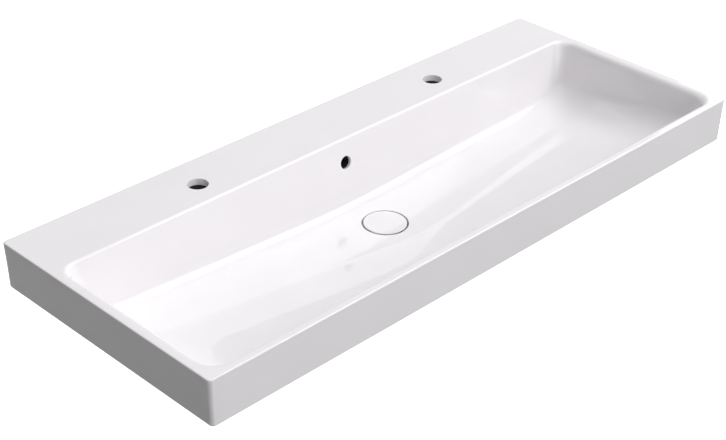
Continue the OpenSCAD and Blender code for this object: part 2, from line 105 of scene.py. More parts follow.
def grid_quads(rows: int, columns: int, close_rows: bool = False) -> Array:
    """Faces of a grid that is closed round its columns: each joins a point, the next column and the next row.

    Args:
        rows: number of rows.
        columns: number of points in a row; the last is joined to the first.
        close_rows: whether the last row is joined to the first as well.

    Returns:
        Vertex numbers, four to a face, facing outwards where rows go up and columns go counter-clockwise.
    """
    spans = rows if close_rows else rows - 1
    j, i = np.meshgrid(np.arange(spans), np.arange(columns), indexing="ij")
    beside, above = (i + 1) % columns, (j + 1) % rows
    corners = [j * columns + i, j * columns + beside, above * columns + beside, above * columns + i]
    return np.stack(corners, axis=-1).reshape(-1, 4)


def turned(name: str, profile: Array, centre: tuple[float, float, float], direction: Vector = Vector((0, 0, 1)),
           steps: int = 128, closed: bool = False,
           swell: Callable[[Array, Array], Array] | None = None) -> bpy.types.Object:
    """Turns a profile of (radius, height) about an axis: place = centre + radius (cos a u + sin a v) + height w.

    Args:
        name: the piece's name.
        profile: radius and height of each point; on the outside the heights go up.
        centre: the point of the axis at height zero.
        direction: w, the way that the axis points; u and v are square to it.
        steps: points round the circle.
        closed: whether the profile is a closed loop, as for a ring.
        swell: gives each point's radius from angle, radius and height arrays, or None.

    Returns:
        The object. An open profile is closed by a flat face at each end.
    """
    upright = Vector(direction).to_track_quat("Z", "Y").to_matrix()
    angle = np.linspace(0.0, FULL_TURN, steps, endpoint=False)[None, :]
    radius, height = profile[:, :1] + 0.0 * angle, profile[:, 1:] + 0.0 * angle
    if swell is not None:
        radius = swell(angle, radius, height)
    local = np.stack([radius * np.cos(angle), radius * np.sin(angle), height], axis=-1)
    points = local.reshape(-1, 3) @ np.array(upright).T + np.array(centre)
    ends = () if closed else (np.arange(steps)[::-1], np.arange(steps) + (len(profile) - 1) * steps)
    return new_piece(name, points, grid_quads(len(profile), steps, closed), ends)


def prism(name: str, outline: Array, left: float, right: float) -> bpy.types.Object:
    """Carries an outline straight along x.

    Args:
        name: the piece's name.
        outline: y and z of each point, clockwise as seen from +X.
        left: x of its first end.
        right: x of its other end.

    Returns:
        The object, closed by a flat face at each end.
    """
    count = len(outline)
    ends = [np.column_stack([np.full(count, x), outline]) for x in (left, right)]
    caps = (np.arange(count)[::-1], np.arange(count) + count)
    return new_piece(name, np.concatenate(ends), grid_quads(2, count), caps)


def arc(centre: tuple[float, float], radius: float, start: float, end: float, steps: int = 8) -> Array:
    """Points of an arc in a plane, centre + radius (cos a, sin a), both ends included; angles are in degrees."""
    angle = np.radians(np.linspace(start, end, steps + 1))
    return np.stack([centre[0] + radius * np.cos(angle), centre[1] + radius * np.sin(angle)], axis=-1)


def even(count: int) -> Array:
    """Shares from 0 to 1 in a number of even steps, both ends included."""
    return np.linspace(0.0, 1.0, count + 1)


def eased(corner: tuple[float, float], before: tuple[float, float], after: tuple[float, float]) -> Array:
    """Three points in place of a profile's corner: corner + before, corner + 0.3 (before + after), corner + after."""
    return np.array(corner) + np.array([before, EASE * np.add(before, after), after])


def curve_rows(first: Array, corner: Array, last: Array, shares: Array) -> Array:
    """Rows on the curve that leaves one row towards a corner row and ends at a third.

    Each is (1 - t)^2 first + 2 t (1 - t) corner + t^2 last, for t in shares.
    """
    t = shares[:, None, None]
    return (1 - t) ** 2 * first + 2 * t * (1 - t) * corner + t ** 2 * last


def straight_rows(first: Array, last: Array, shares: Sequence[float]) -> Array:
    """Rows on the straight lines between two rows: first + t (last - first), for t in shares."""
    return first + np.asarray(shares)[:, None, None] * (last - first)


def sharpen(piece: bpy.types.Object, degrees: float = 35.0) -> None:
    """Marks the edges sharp where the faces turn by more than an angle."""
    piece.data.set_sharp_from_angle(angle=math.radians(degrees))


def even_shading(piece: bpy.types.Object) -> None:
    """Lets the large flat faces set the shading where they meet a small rounding."""
    step = piece.modifiers.new("even_shading", "WEIGHTED_NORMAL")
    step.keep_sharp = True


def combine(piece: bpy.types.Object, others: list[bpy.types.Object], join: Join) -> None:
    """Adds closed meshes to a closed mesh, or cuts them out of it, and deletes them.

    Args:
        piece: the mesh that is kept.
        others: the meshes that are added or cut, one after another.
        join: which of the two.
    """
    for other in others:
        step = piece.modifiers.new("combine", "BOOLEAN")
        step.operation, step.solver, step.object = join.value, "MANIFOLD", other
    result = bpy.data.meshes.new_from_object(piece.evaluated_get(bpy.context.evaluated_depsgraph_get()))
    piece.modifiers.clear()
    old, piece.data = piece.data, result
    bpy.data.meshes.remove(old)
    for other in others:
        bpy.data.meshes.remove(other.data)


def paint(piece: bpy.types.Object, sides: Side | Array) -> bpy.types.Object:
    """Gives a piece an empty slot for every side and puts its faces into theirs.

    Args:
        piece: the piece.
        sides: one side, or the number of every face's side.

    Returns:
        The piece.
    """
    for _ in Side:
        piece.data.materials.append(None)
    numbers = np.broadcast_to(sides.value if isinstance(sides, Side) else sides, len(piece.data.polygons))
    piece.data.polygons.foreach_set("material_index", numbers.astype(np.int32))
    return piece


# Shader helpers


class Value:
    """One number output of a shader node. Python's arithmetic on it adds Math nodes."""

    def __init__(self, nodes: "Nodes", socket: bpy.types.NodeSocket) -> None:
        """Args: nodes: the tree that the output is in; socket: the output."""
        self.nodes, self.socket = nodes, socket

    def math(self, operation: str, *others: Any) -> "Value":
        """A Math node with this value first, then the others."""
        inputs = dict(enumerate((self, *others)))
        return Value(self.nodes, self.nodes.node("ShaderNodeMath", {"operation": operation}, inputs).outputs[0])

    def __add__(self, other: Any) -> "Value":
        """Sum."""
        return self.math("ADD", other)

    def __sub__(self, other: Any) -> "Value":
        """Difference."""
        return self.math("SUBTRACT", other)

    def __mul__(self, other: Any) -> "Value":
        """Product."""
        return self.math("MULTIPLY", other)

    def __rsub__(self, other: Any) -> "Value":
        """A number minus this value."""
        return self.math("MULTIPLY_ADD", -1.0, other)

    __radd__ = __add__
    __rmul__ = __mul__

    def step(self, low: float, high: float) -> "Value":
        """A smooth step over this value.

        Args:
            low: where it is zero, as below.
            high: where it is one, as above.

        Returns:
            The step's height.
        """
        inputs = {"Value": self, "From Min": low, "From Max": high}
        settings = {"interpolation_type": "SMOOTHSTEP", "clamp": True}
        return Value(self.nodes, self.nodes.node("ShaderNodeMapRange", settings, inputs).outputs["Result"])


class Nodes:
    """A node tree that is filled node by node."""

    def __init__(self, tree: bpy.types.NodeTree) -> None:
        """Args: tree: the tree, which is emptied."""
        self.tree = tree
        self.tree.nodes.clear()

    def node(self, kind: str, settings: dict[str, Any], inputs: dict[Any, Any]) -> bpy.types.Node:
        """Adds a node.

        Args:
            kind: the node's type.
            settings: its properties, set first.
            inputs: a number, colour, Value or output socket for each input's name or number.

        Returns:
            The node.
        """
        node = self.tree.nodes.new(kind)
        for key, setting in settings.items():
            setattr(node, key, setting)
        for key, source in inputs.items():
            self.feed(node.inputs[key], source)
        return node

    def feed(self, socket: bpy.types.NodeSocket, source: Any) -> None:
        """Links something to an input, or sets the input's own value.

        Args:
            socket: the input.
            source: a Value or output socket to link, or a number or colour to set.
        """
        if isinstance(source, Value):
            self.tree.links.new(source.socket, socket)
        elif isinstance(source, bpy.types.NodeSocket):
            self.tree.links.new(source, socket)
        else:
            socket.default_value = source

    def rays(self) -> tuple[Value, Value]:
        """One where the camera looks straight at the surface, and one where it does in gloss or through glass."""
        path = self.node("ShaderNodeLightPath", {}, {}).outputs
        return Value(self, path["Is Camera Ray"]), Value(self, path["Is Glossy Ray"]) + path["Is Transmission Ray"]


class Recipe(Nodes):
    """One material's node tree, with a Principled shader as its surface."""

    def __init__(self, name: str) -> None:
        """Args: name: the material's name."""
        self.material = bpy.data.materials.new(name)
        self.material.use_nodes = True
        super().__init__(self.material.node_tree)
        self.shader = self.node("ShaderNodeBsdfPrincipled", {}, {})
        self.node("ShaderNodeOutputMaterial", {}, {"Surface": self.shader.outputs[0]})
        self.place = self.node("ShaderNodeTexCoord", {}, {}).outputs["Object"]

    def surface(self, **inputs: Any) -> bpy.types.Material:
        """Feeds the Principled shader.

        Args:
            inputs: what each input is fed; underscores stand for the spaces in its name.

        Returns:
            The material.
        """
        for key, source in inputs.items():
            self.feed(self.shader.inputs[key.replace("_", " ")], source)
        return self.material

    def noise(self, size: float, detail: float = 3.0, stretch: tuple[float, float, float] = (1, 1, 1)) -> Value:
        """Soft noise from 0 to 1.

        Args:
            size: about how large its patches are, in metres.
            detail: how many finer layers it has.
            stretch: scale of the pattern's place along each axis, so that under one draws the patches out.

        Returns:
            Its height.
        """
        scaled = self.node("ShaderNodeMapping", {}, {"Vector": self.place, "Scale": stretch}).outputs[0]
        inputs = {"Vector": scaled, "Scale": 1.0 / size, "Detail": detail}
        return Value(self, self.node("ShaderNodeTexNoise", {}, inputs).outputs[0])

    def axis(self, number: int) -> Value:
        """The place along one axis, in metres."""
        return Value(self, self.node("ShaderNodeSeparateXYZ", {}, {0: self.place}).outputs[number])

    def blend(self, share: Value, low: Colour, high: Colour) -> bpy.types.NodeSocket:
        """A colour between two, by share."""
        return self.node("ShaderNodeMix", {"data_type": "RGBA"}, {0: share, 6: low, 7: high}).outputs[2]

    def bump(self, height: Value, depth: float) -> bpy.types.NodeSocket:
        """A normal from a height between 0 and 1 that stands for depth metres."""
        return self.node("ShaderNodeBump", {}, {"Height": height, "Distance": depth, "Strength": 1.0}).outputs[0]


def grey(level: float, warmth: float = 0.0, violet: float = 0.0) -> Colour:
    """A grey with more red and less blue as warmth grows, and less green as violet grows."""
    return (level * (1 + warmth), level * (1 - violet), level * (1 - warmth), 1.0)


# Finishes


@dataclass(frozen=True)
class Glaze:
    """White gloss glaze: nearly even, with faint pooling of the melt and an orange-peel skin."""

    name: str = "white_glaze"
    white: float = 0.88
    pooling: float = 0.985
    violet: float = 0.022
    pooled_violet: float = 0.0242
    roughness: float = 0.03
    spread: float = 0.02
    index: float = 1.52
    patch: float = 0.11
    patch_edge: tuple[float, float] = (0.3, 0.7)
    peel: float = 0.009
    peel_depth: float = 0.00002
    detail: float = 2.0

    def material(self) -> bpy.types.Material:
        """Makes the glaze.

        Returns:
            Its material.
        """
        recipe = Recipe(self.name)
        cloud = recipe.noise(self.patch, self.detail).step(*self.patch_edge)
        skin = recipe.noise(self.peel, self.detail)
        return recipe.surface(
            Base_Color=recipe.blend(cloud, grey(self.white, 0.0, self.violet),
                                    grey(self.white * self.pooling, 0.0, self.pooled_violet)),
            Roughness=self.roughness + self.spread * skin, Normal=recipe.bump(skin, self.peel_depth), IOR=self.index)


@dataclass(frozen=True)
class Biscuit:
    """Fired clay without glaze: matt, a little grainy, warm and stained."""

    name: str = "biscuit"
    tone: float = 0.74
    warmth: float = 0.03
    stain: float = 0.9
    stain_warmth: float = 0.05
    stain_size: float = 0.06
    stain_edge: tuple[float, float] = (0.35, 0.65)
    stain_share: float = 0.6
    grain: float = 0.0016
    grain_detail: float = 5.0
    grain_depth: float = 0.00012
    roughness: float = 0.72
    spread: float = 0.15
    sheen: float = 0.25

    def material(self) -> bpy.types.Material:
        """Makes the fired clay.

        Returns:
            Its material.
        """
        recipe = Recipe(self.name)
        grain = recipe.noise(self.grain, self.grain_detail)
        stain = recipe.noise(self.stain_size).step(*self.stain_edge)
        return recipe.surface(
            Base_Color=recipe.blend(stain * self.stain_share + grain * (1.0 - self.stain_share),
                                    grey(self.tone, self.warmth), grey(self.tone * self.stain, self.stain_warmth)),
            Roughness=self.roughness + self.spread * grain, Normal=recipe.bump(grain, self.grain_depth),
            Specular_IOR_Level=self.sheen)


@dataclass(frozen=True)
class Chrome:
    """Bright plating on turned brass, with faint turning rings and wiped patches."""

    tone: float = 0.78
    coolness: float = 0.01
    wiped: float = 0.93
    wiped_coolness: float = 0.02
    wipe_size: float = 0.02
    ring: float = 0.0007
    ring_stretch: tuple[float, float, float] = (0.02, 0.02, 1.0)
    ring_detail: float = 2.0
    ring_depth: float = 0.000004
    roughness: float = 0.07
    spread: float = 0.1

    def material(self) -> bpy.types.Material:
        """Makes the plating.

        Returns:
            Its material.
        """
        recipe = Recipe("chromed_brass")
        wiped, rings = recipe.noise(self.wipe_size), recipe.noise(self.ring, self.ring_detail, self.ring_stretch)
        return recipe.surface(
            Base_Color=recipe.blend(wiped, grey(self.tone, -self.coolness),
                                    grey(self.tone * self.wiped, -self.wiped_coolness)),
            Roughness=self.roughness + self.spread * wiped * rings, Normal=recipe.bump(rings, self.ring_depth),
            Metallic=1.0)


@dataclass(frozen=True)
class Brass:
    """Turned brass with a little tarnish."""

    bright: Colour = (0.83, 0.62, 0.30, 1.0)
    dull: Colour = (0.62, 0.44, 0.20, 1.0)
    tarnish_size: float = 0.004
    tarnish_edge: tuple[float, float] = (0.4, 0.75)
    ring: float = 0.0004
    ring_stretch: tuple[float, float, float] = (0.03, 0.03, 1.0)
    ring_detail: float = 2.0
    ring_depth: float = 0.00001
    roughness: float = 0.22
    spread: float = 0.2

    def material(self) -> bpy.types.Material:
        """Makes the brass.

        Returns:
            Its material.
        """
        recipe = Recipe("brass")
        tarnish = recipe.noise(self.tarnish_size).step(*self.tarnish_edge)
        rings = recipe.noise(self.ring, self.ring_detail, self.ring_stretch)
        return recipe.surface(
            Base_Color=recipe.blend(tarnish, self.bright, self.dull),
            Roughness=self.roughness + self.spread * tarnish, Normal=recipe.bump(rings, self.ring_depth), Metallic=1.0)


@dataclass(frozen=True)
class SpringWire:
    """Drawn stainless wire with fine die marks."""

    tone: float = 0.6
    coolness: float = 0.02
    marked: float = 0.8
    marked_coolness: float = 0.01
    mark: float = 0.0003
    mark_stretch: tuple[float, float, float] = (1.0, 1.0, 4.0)
    mark_depth: float = 0.000008
    roughness: float = 0.28
    spread: float = 0.15

    def material(self) -> bpy.types.Material:
        """Makes the wire's steel.

        Returns:
            Its material.
        """
        recipe = Recipe("spring_steel")
        marks = recipe.noise(self.mark, stretch=self.mark_stretch)
        return recipe.surface(
            Base_Color=recipe.blend(marks, grey(self.tone, -self.coolness),
                                    grey(self.tone * self.marked, -self.marked_coolness)),
            Roughness=self.roughness + self.spread * marks, Normal=recipe.bump(marks, self.mark_depth), Metallic=1.0)


@dataclass(frozen=True)
class Rubber:
    """Moulded black rubber with a powdery bloom."""

    black: float = 0.022
    bloomed: float = 2.4
    bloom_size: float = 0.006
    bloom_edge: tuple[float, float] = (0.45, 0.8)
    grain: float = 0.0007
    grain_detail: float = 4.0
    grain_depth: float = 0.00003
    roughness: float = 0.55
    spread: float = 0.2

    def material(self) -> bpy.types.Material:
        """Makes the rubber.

        Returns:
            Its material.
        """
        recipe = Recipe("black_rubber")
        bloom = recipe.noise(self.bloom_size).step(*self.bloom_edge)
        grain = recipe.noise(self.grain, self.grain_detail)
        return recipe.surface(
            Base_Color=recipe.blend(bloom, grey(self.black), grey(self.black * self.bloomed)),
            Roughness=self.roughness + self.spread * bloom, Normal=recipe.bump(grain, self.grain_depth))


@dataclass(frozen=True)
class Nylon:
    """Moulded nylon, slightly uneven in tone, with a satin skin."""

    name: str
    tone: float
    warmth: float = 0.0
    flow: float = 0.92
    flow_size: float = 0.008
    flow_stretch: tuple[float, float, float] = (1.0, 1.0, 0.4)
    grain: float = 0.0005
    grain_detail: float = 4.0
    grain_depth: float = 0.00001
    roughness: float = 0.36
    spread: float = 0.14

    def material(self) -> bpy.types.Material:
        """Makes the nylon.

        Returns:
            Its material.
        """
        recipe = Recipe(self.name)
        flow = recipe.noise(self.flow_size, stretch=self.flow_stretch)
        grain = recipe.noise(self.grain, self.grain_detail)
        return recipe.surface(
            Base_Color=recipe.blend(flow, grey(self.tone, self.warmth), grey(self.tone * self.flow, self.warmth)),
            Roughness=self.roughness + self.spread * flow, Normal=recipe.bump(grain, self.grain_depth))


# The basin


@dataclass(frozen=True)
class Outline:
    """A rectangle with round corners seen from above, the same on the left and the right."""

    half_width: float
    front: float
    back: float
    front_radius: float
    back_radius: float

    @property
    def front_centre(self) -> tuple[float, float]:
        """Centre of the right front corner."""
        return self.half_width - self.front_radius, self.front + self.front_radius

    @property
    def back_centre(self) -> tuple[float, float]:
        """Centre of the right back corner."""
        return self.half_width - self.back_radius, self.back - self.back_radius

    def reach(self, centre: tuple[float, float], angle: Array) -> Array:
        """Points where rays from a centre meet the outline, right of the middle.

        A ray's length is the least that takes it to the right side or to the front or back side, and within
        a round corner the length at which it leaves the corner's circle.

        Args:
            centre: where the rays start.
            angle: their angles from +X, from -90 to 90 degrees, in radians.

        Returns:
            One point for each angle.
        """
        way = np.stack([np.cos(angle), np.sin(angle)], axis=-1)
        front = angle < 0.0
        edge = np.where(front, self.front, self.back) - centre[1]
        radius = np.where(front, self.front_radius, self.back_radius)
        middle = np.where(front[:, None], self.front_centre, self.back_centre) - np.array(centre)
        with np.errstate(divide="ignore", invalid="ignore"):
            length = np.fmin((self.half_width - centre[0]) / way[:, 0],
                             np.where(way[:, 1] == 0.0, np.inf, edge / way[:, 1]))
        square = way * length[:, None]
        in_corner = (square[:, 0] > middle[:, 0]) & (np.abs(square[:, 1]) > np.abs(middle[:, 1]))
        along = (way * middle).sum(axis=-1)
        reach = along + np.sqrt(np.maximum(along ** 2 - (middle ** 2).sum(axis=-1) + radius ** 2, 0.0))
        return np.array(centre) + way * np.where(in_corner, reach, length)[:, None]


@dataclass
class Columns:
    """Where the columns of points stand round the basin, the same for every row.

    A row runs counter-clockwise from the middle of the front: along the front, round the right front corner,
    up the right side, round the right back corner and along the back to its middle, and then the same on the
    left. Round a corner, the columns' angles crowd together where the outer corner's small radius turns.
    """

    rim: Outline
    outer: Outline
    long_steps: int = 60
    short_steps: int = 36
    corner_step: float = 5.0
    arc_steps: int = 8
    front_turn: Array = field(init=False)
    back_turn: Array = field(init=False)

    def __post_init__(self) -> None:
        """Works out the corners' angles."""
        self.front_turn = self.turn(self.rim.front_centre, self.outer.front_centre, self.outer.front_radius, -90.0)
        self.back_turn = self.turn(self.rim.back_centre, self.outer.back_centre, self.outer.back_radius, 0.0)

    def turn(self, centre: tuple[float, float], outer: tuple[float, float], radius: float, start: float) -> Array:
        """Angles of a corner's columns: even steps up to the outer arc, that arc's points, and even steps from it on.

        Args:
            centre: the bowl's corner centre.
            outer: the outer corner's centre.
            radius: the outer corner's radius.
            start: where the quarter turn starts, in degrees.

        Returns:
            Angles in radians, both ends of the quarter turn included.
        """
        bend = arc(outer, radius, start, start + 90.0, self.arc_steps)
        angle = np.degrees(np.arctan2(bend[:, 1] - centre[1], bend[:, 0] - centre[0]))
        before = np.linspace(start, angle[0], math.ceil((angle[0] - start) / self.corner_step) + 1)[:-1]
        after = np.linspace(angle[-1], start + 90.0, math.ceil((start + 90.0 - angle[-1]) / self.corner_step) + 1)
        return np.radians(np.concatenate([before, angle, after[1:]]))

    def row(self, outline: Outline, past_corners: bool = False) -> Array:
        """A row of points in the plane.

        Along the front and the back x = m (t + 3 t^3) / 4 for even steps of t, where m is the middle of the
        corner, so that the columns spread evenly round the drain.

        Args:
            outline: the shape that the row follows.
            past_corners: whether it lies outside the rim, where rays from the rim's corners meet it.

        Returns:
            x and y of each point.
        """
        base = self.rim if past_corners else outline
        t = even(self.long_steps)
        share = (t + 3.0 * t ** 3) / 4.0
        if past_corners:
            front_arc = outline.reach(base.front_centre, self.front_turn)
            back_arc = outline.reach(base.back_centre, self.back_turn)
        else:
            front_arc, back_arc = (
                np.array(centre) + radius * np.stack([np.cos(turn), np.sin(turn)], axis=-1)
                for centre, radius, turn in ((base.front_centre, base.front_radius, self.front_turn),
                                             (base.back_centre, base.back_radius, self.back_turn)))
        front = np.column_stack([base.front_centre[0] * share, np.full_like(share, outline.front)])
        back = np.column_stack([base.back_centre[0] * share[::-1], np.full_like(share, outline.back)])
        side = np.linspace(front_arc[-1], back_arc[0], self.short_steps + 1)
        right = np.concatenate([front[:-1], front_arc, side[1:-1], back_arc, back[1:]])
        return np.concatenate([right, right[-2:0:-1] * (-1.0, 1.0)])

    def facing(self) -> Array:
        """The way each column faces.

        Returns:
            Angles from sideways in radians: a quarter turn less at the front and more at the back.
        """
        quarter = math.pi / 2.0
        right = np.concatenate([np.full(self.long_steps, -quarter), self.front_turn, np.zeros(self.short_steps - 1),
                                self.back_turn, np.full(self.long_steps, quarter)])
        return np.concatenate([right, right[-2:0:-1]])


@dataclass
class Basin:
    """The ceramic casting: one closed surface of rows round the drain, with webs, pads and holes combined in.

    The rows run out from the drain over the bowl's floor, up its wall, over the deck and rims, down the skirt,
    up inside it, along the deck's underside, down the outside of the bowl's wall and the boss, and up through
    the drain hole to the first row.
    """

    # The outside: rim, skirt and webs.
    width: float = 1200.0
    depth: float = 480.0
    rim_height: float = 58.0
    skirt_height: float = 81.0
    skirt: float = 12.0
    draft: float = 3.5
    front_draft: float = 0.5
    corner_radius: float = 7.0
    rim_edge: float = 2.5
    skirt_foot: float = 3.0
    deck: float = 12.0
    web: float = 12.0
    web_gaps: tuple[float, float] = (390.0, 840.0)

    # The bowl. A lean is how far a wall leans in from rim to foot; a blend goes up the wall and out over the floor.
    deck_depth: float = 121.5
    front_rim: float = 15.0
    side_rim: float = 20.5
    back_corner: float = 28.0
    front_corner: float = 36.0
    bowl_depth: float = 120.0
    wall: float = 11.0
    back_lean: float = 18.0
    side_lean: float = 28.0
    front_lean: float = 30.0
    edge_round: float = 5.0
    side_edge_round: float = 10.5
    back_blend: tuple[float, float] = (20.0, 20.0)
    side_blend: tuple[float, float] = (38.0, 100.0)
    front_blend: tuple[float, float] = (28.0, 34.0)
    end_rise: float = 27.0
    front_rise: float = 18.0
    crease_middle: float = 285.0
    crease_end: float = 219.0
    crease_soft: float = 0.6
    drain_soft: float = 60.0

    # Holes, overflow duct and drain.
    tap_hole: float = 35.0
    tap_gap: float = 550.0
    tap_setback: float = 69.0
    tap_lip: float = 0.6
    fixing_gap: float = 280.0
    fixing_hole: float = 18.0
    fixing_pad: float = 44.0
    fixing_pad_height: float = 6.0
    overflow: float = 23.0
    overflow_drop: float = 43.0
    overflow_lip: float = 1.2
    overflow_glaze: float = 5.5
    duct_width: float = 36.0
    duct_depth: float = 14.0
    duct_run: float = 12.0
    duct_bend: float = 24.0
    duct_wall: float = 9.0
    drain_setback: float = 223.0
    recess: float = 80.0
    recess_depth: float = 13.0
    recess_lip: float = 0.8
    drain_hole: float = 46.0
    seat: float = 6.0
    boss_wall: float = 10.0
    slot: float = 5.0

    # Small edges and bends. Cutting meshes run past what they cut, and faces near the wall that face it stay unglazed.
    hole_edge: float = 1.0
    boss_edge: float = 3.0
    boss_round: float = 8.0
    pad_edge: float = 1.0
    seat_border: float = 4.0
    under_bend_share: float = 0.45
    under_bend: tuple[float, float] = (0.5, 8.0)
    past: float = 4.0
    near_wall: float = 0.5
    facing_wall: float = 0.9

    # How finely the surfaces are divided: counts of steps, and shares of the way at which single rows lie.
    lip_steps: int = 6
    floor_steps: tuple[int, int] = (28, 34)
    floor_even: float = 0.3
    last_crease: float = 0.94
    blend_steps: int = 18
    edge_steps: int = 9
    rim_steps: int = 7
    bend_steps: int = 5
    duct_steps: int = 12
    outside_steps: tuple[int, int] = (8, 24)
    wall_rows: tuple[float, ...] = (0.05, 0.35, 0.7, 0.95)
    deck_rows: tuple[float, ...] = (0.03, 0.2, 0.8, 0.97)
    skirt_rows: tuple[float, ...] = (0.03, 0.5, 0.97)
    outside_rows: tuple[float, ...] = (0.3, 0.7)
    columns: Columns = field(init=False)

    def __post_init__(self) -> None:
        """Sets the columns' places."""
        self.columns = Columns(self.bowl_outline(0.0), self.outer_outline(0.0, 0.0, 0.0, 0.0))

    @property
    def half_bowl(self) -> float:
        """Half the bowl's width at the rim."""
        return self.width / 2 - self.side_rim

    @property
    def floor(self) -> float:
        """Height of the bowl's floor beside the drain."""
        return self.rim_height - self.bowl_depth

    @property
    def foot(self) -> float:
        """Height of the skirt's lower edge."""
        return self.rim_height - self.skirt_height

    @property
    def duct_top(self) -> float:
        """Height of the overflow duct's ceiling under the floor."""
        return self.floor - self.recess_depth - self.seat

    @property
    def boss_foot(self) -> float:
        """Height of the boss's lower face."""
        return self.duct_top - self.duct_run - 2.0 * self.seat

    @property
    def facing(self) -> Array:
        """The way each column faces."""
        return self.columns.facing()

    def by_side(self, side: float, front: float, back: float) -> Array:
        """A size for each column that turns smoothly from the front's or the back's to the sides'."""
        ends = np.where(self.facing < 0.0, front, back)
        return ends + (side - ends) * np.cos(self.facing)

    def bowl_outline(self, grow: float) -> Outline:
        """The bowl's edge at the rim, or an edge that lies outside it by grow."""
        return Outline(self.half_bowl + grow, self.front_rim - self.depth - grow, grow - self.deck_depth,
                       self.front_corner + grow, self.back_corner + grow)

    def outer_outline(self, inset: float, back_inset: float, radius_loss: float, front_inset: float) -> Outline:
        """The outer edge, drawn in by an inset at the sides and by others at the back and the front."""
        radius = self.corner_radius - radius_loss
        return Outline(self.width / 2 - inset, front_inset - self.depth, -back_inset, radius, radius)

    def level(self, row: Array, height: float | Array) -> Array:
        """A row of points in the plane, lifted to a height."""
        return np.column_stack([row, np.broadcast_to(height, len(row))])

    def off_middle(self, x: Array) -> Array:
        """Distance off the middle, level beside the drain: sqrt(x^2 + soft^2) - soft."""
        return np.sqrt(x ** 2 + self.drain_soft ** 2) - self.drain_soft

    def crease(self, x: Array) -> Array:
        """The crease's distance from the wall, which falls in proportion to the distance off the middle."""
        return self.crease_middle + (self.crease_end - self.crease_middle) * self.off_middle(x) / self.half_bowl

    def floor_height(self, row: Array) -> Array:
        """Height of the bowl's floor: a trough that rises from the drain to both ends, and a front slope.

        The trough rises in proportion to the distance off the middle. The front slope s rises from the crease
        in proportion to the distance past it, and (s + sqrt(s^2 + c^2)) / 2 rounds the crease.

        Args:
            row: x and y of each point.

        Returns:
            One height for each point.
        """
        run = self.depth - self.front_rim - self.front_lean - self.crease_middle
        slope = self.front_rise * (-row[:, 1] - self.crease(row[:, 0])) / run
        rounded = (slope + np.sqrt(slope ** 2 + self.crease_soft ** 2)) / 2
        return self.floor + self.end_rise * self.off_middle(row[:, 0]) / self.half_bowl + rounded

    def on_floor(self, row: Array, grow: float = 0.0) -> Array:
        """A row in the plane, laid on the floor or on the underside of its thickness."""
        return self.level(row, self.floor_height(row) - grow)

    def ring(self, radius: float) -> Array:
        """A round row about the drain: drain + radius w, where w points from it to the column's foot.

        Args:
            radius: the row's radius.

        Returns:
            x and y of each point.
        """
        drain = np.array([0.0, -self.drain_setback])
        way = self.columns.row(self.foot_outline(0.0)) - drain
        return drain + way / np.linalg.norm(way, axis=-1, keepdims=True) * radius

    def rings(self, profile: Array) -> Array:
        """A level round row about the drain for each radius and height of a profile."""
        return np.stack([self.level(self.ring(radius), height) for radius, height in profile])

    def foot_outline(self, grow: float) -> Outline:
        """Where the walls would meet the floor without a blend."""
        rim = self.bowl_outline(grow)
        return Outline(rim.half_width - self.side_lean, rim.front + self.front_lean, rim.back - self.back_lean,
                       rim.front_radius, rim.back_radius)

    def walls(self, grow: float) -> dict[str, Array]:
        """The rows that carry the bowl's wall: rim, foot, and the blend's ends on the floor and on the wall.

        The blend ends on the wall at its height over the foot, along the line from foot to rim.

        Args:
            grow: zero for the inside of the bowl, or the thickness for its outside.

        Returns:
            The four rows by name.
        """
        foot = self.foot_outline(0.0)
        inner = Outline(foot.half_width - self.side_blend[1], foot.front + self.front_blend[1],
                        foot.back - self.back_blend[1], foot.front_radius + self.front_blend[1],
                        foot.back_radius + self.back_blend[1])
        rim = self.level(self.columns.row(self.bowl_outline(grow)), self.rim_height)
        low = self.on_floor(self.columns.row(self.foot_outline(grow)), grow)
        height = grow + self.by_side(self.side_blend[0], self.front_blend[0], self.back_blend[0])
        return {"rim": rim, "foot": low, "floor": self.on_floor(self.columns.row(inner), grow),
                "wall": self.up_wall(low, rim, low[:, 2] + height)}

    def up_wall(self, foot: Array, rim: Array, height: float | Array) -> Array:
        """The points at a height on the wall's straight lines from foot to rim."""
        share = (height - foot[:, 2]) / (rim[:, 2] - foot[:, 2])
        return foot + (rim - foot) * share[:, None]

    def floor_rows(self, first: Array, last: Array) -> Array:
        """Rows over the floor, closer together at the crease, which one of them follows.

        Every column is a straight line in the plane, on which the crease lies at a share c that halving finds,
        or near the line's end where it has none. Up to the crease the rows lie at c (t + sin(t pi / 2)) / 2,
        and past it at c + (1 - c) (e u + (1 - e) (1 - cos(u pi / 2))), where e is floor_even.

        Args:
            first: the plane row that the floor starts from.
            last: the plane row that it ends at.

        Returns:
            Rows on the floor, without the first.
        """
        low, high = np.zeros(len(first)), np.full(len(first), self.last_crease)
        for _ in range(HALVINGS):
            middle = (low + high) / 2
            x, y = (first + (last - first) * middle[:, None]).T
            crossed = -y > self.crease(x)
            low, high = np.where(crossed, low, middle), np.where(crossed, middle, high)
        t, u = (even(count)[1:, None] for count in self.floor_steps)
        past = self.floor_even * u + (1 - self.floor_even) * (1 - np.cos(u * math.pi / 2))
        share = np.concatenate([high * (t + np.sin(t * math.pi / 2)) / 2, high + (1 - high) * past])
        rows = first + share[:, :, None] * (last - first)
        return np.stack([self.on_floor(row) for row in rows])

